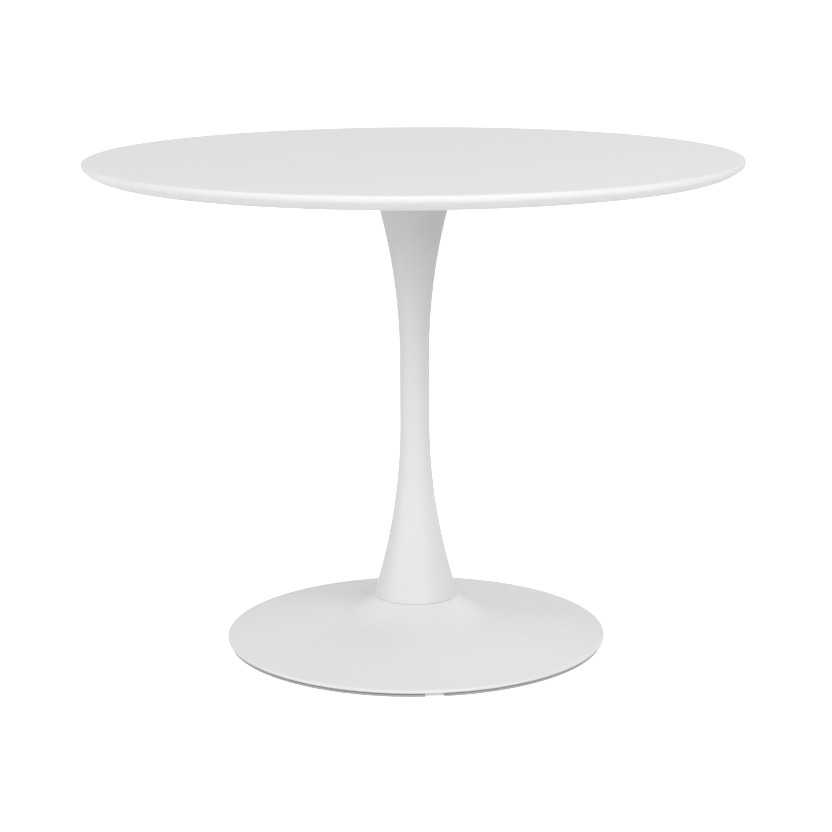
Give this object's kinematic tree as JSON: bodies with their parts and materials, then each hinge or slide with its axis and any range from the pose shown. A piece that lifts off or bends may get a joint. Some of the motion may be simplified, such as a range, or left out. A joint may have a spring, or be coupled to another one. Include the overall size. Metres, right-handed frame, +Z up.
{
  "type": "round pedestal table",
  "caption": "Round dining table: a thin undercut disc top on a slender trumpet column and a shallow flared round foot.",
  "frame": {"origin": "on the floor, on the table's centre line, under the middle of the foot", "axes": "+Z up along the column, +X to the right and -Y to the front"},
  "size_m": [0.9999, 1, 0.76],
  "materials": {
    "top_lacquer": "matt white lacquer on fibreboard, grey backing sheet underneath",
    "column_paint": "matt white powder coat",
    "base_paint": "matt white powder coat",
    "plate_paint": "thin dark grey primer coat",
    "raw_steel": "oiled bare steel",
    "zinc_steel": "bright zinc plate",
    "ballast_iron": "as cast, black dipped",
    "gasket_rubber": "soft grey rubber",
    "strip_plastic": "matt grey extruded plastic"
  },
  "bodies": {
    "root": {"table_top": "top_lacquer", "top_inserts": "zinc_steel", "mounting_plate": "plate_paint", "mounting_washers": "zinc_steel", "mounting_screws": "zinc_steel", "head_disc": "raw_steel", "column_shell": "column_paint", "foot_disc": "raw_steel", "seam_gasket": "gasket_rubber", "tie_rod": "zinc_steel", "rod_top_washer": "zinc_steel", "rod_top_nut": "zinc_steel", "rod_bottom_washer": "zinc_steel", "rod_spring_washer": "zinc_steel", "rod_bottom_nut": "zinc_steel", "base_shell": "base_paint", "base_ballast": "ballast_iron", "ballast_screws": "zinc_steel", "bottom_plate": "plate_paint", "rim_screws": "zinc_steel", "edge_strip": "strip_plastic"}
  },
  "joints": []
}
